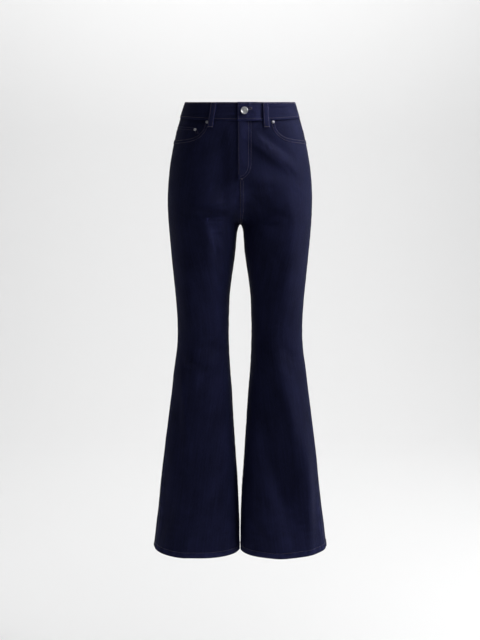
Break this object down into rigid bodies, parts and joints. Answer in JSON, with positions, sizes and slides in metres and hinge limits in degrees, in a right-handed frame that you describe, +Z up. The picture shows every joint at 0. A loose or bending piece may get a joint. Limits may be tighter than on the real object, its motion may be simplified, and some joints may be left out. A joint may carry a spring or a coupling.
{
  "type": "bootcut jeans",
  "caption": "High-rise five-pocket jeans in dark indigo denim, close at hip and knee and flared below, in hollow worn form.",
  "frame": {"origin": "centre of the waistband ring, halfway up it, where a wearer's waist holds the garment up", "axes": "+Z up, the front faces -Y, the wearer's left is +X"},
  "size_m": [0.4374, 0.2278, 1.1174],
  "materials": {
    "denim": "dark indigo stretch denim, faint twill, soft dull sheen",
    "thread": "dark brown-purple sewing thread, matt",
    "silver_metal": "satin silver-coloured metal",
    "zip_tape": "dark blue woven tape, matt"
  },
  "bodies": {
    "root": {"waistband_left": "denim", "waistband_right": "denim", "front_left": "denim", "front_right": "denim", "back_left": "denim", "back_right": "denim", "yoke_left": "denim", "yoke_right": "denim", "pocket_facing_left": "denim", "pocket_facing_right": "denim", "coin_pocket": "denim", "fly_flap": "denim", "zip": "zip_tape", "back_pocket_left": "denim", "back_pocket_right": "denim", "belt_loop_front_left": "denim", "belt_loop_front_right": "denim", "belt_loop_rear_left": "denim", "belt_loop_rear_right": "denim", "belt_loop_back": "denim", "button": "silver_metal", "rivet_left": "silver_metal", "rivet_right": "silver_metal", "rivet_coin": "silver_metal"}
  },
  "joints": []
}
